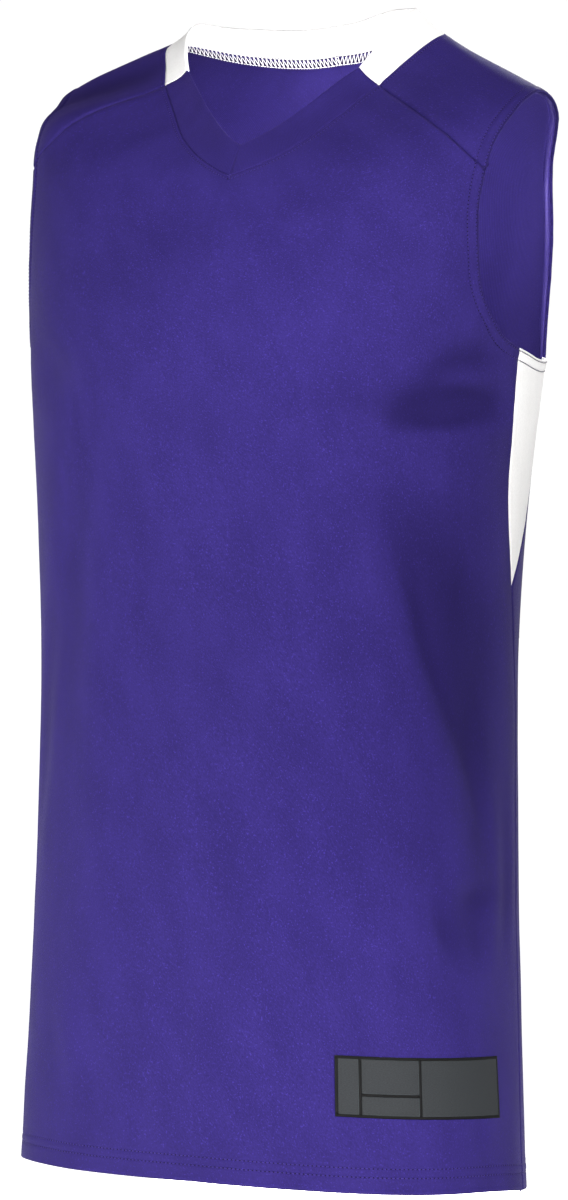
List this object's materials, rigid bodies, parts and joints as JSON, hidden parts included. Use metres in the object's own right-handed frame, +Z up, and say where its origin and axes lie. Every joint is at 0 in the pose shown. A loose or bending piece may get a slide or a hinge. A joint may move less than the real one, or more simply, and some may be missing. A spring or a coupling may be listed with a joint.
{
  "type": "basketball jersey",
  "caption": "Sleeveless V-neck basketball jersey, filled out as worn, with forward shoulders, white back collar, white side inserts and a hip label.",
  "frame": {"origin": "middle of the line over both shoulders, at the height where the shoulders meet the neck", "axes": "+X to the wearer's left, -Y to the front, +Z up"},
  "size_m": [0.3704, 0.2731, 0.8093],
  "materials": {
    "purple_knit": "satin double-knit polyester, purple",
    "white_knit": "satin double-knit polyester, white",
    "woven_label": "flat woven label, charcoal with near-black lines"
  },
  "bodies": {
    "root": {"front_panel": "purple_knit", "back_panel": "purple_knit", "side_insert_left": "white_knit", "side_insert_right": "white_knit", "collar_front_left": "purple_knit", "collar_front_right": "purple_knit", "collar_back": "white_knit", "hem_label": "woven_label"}
  },
  "joints": []
}
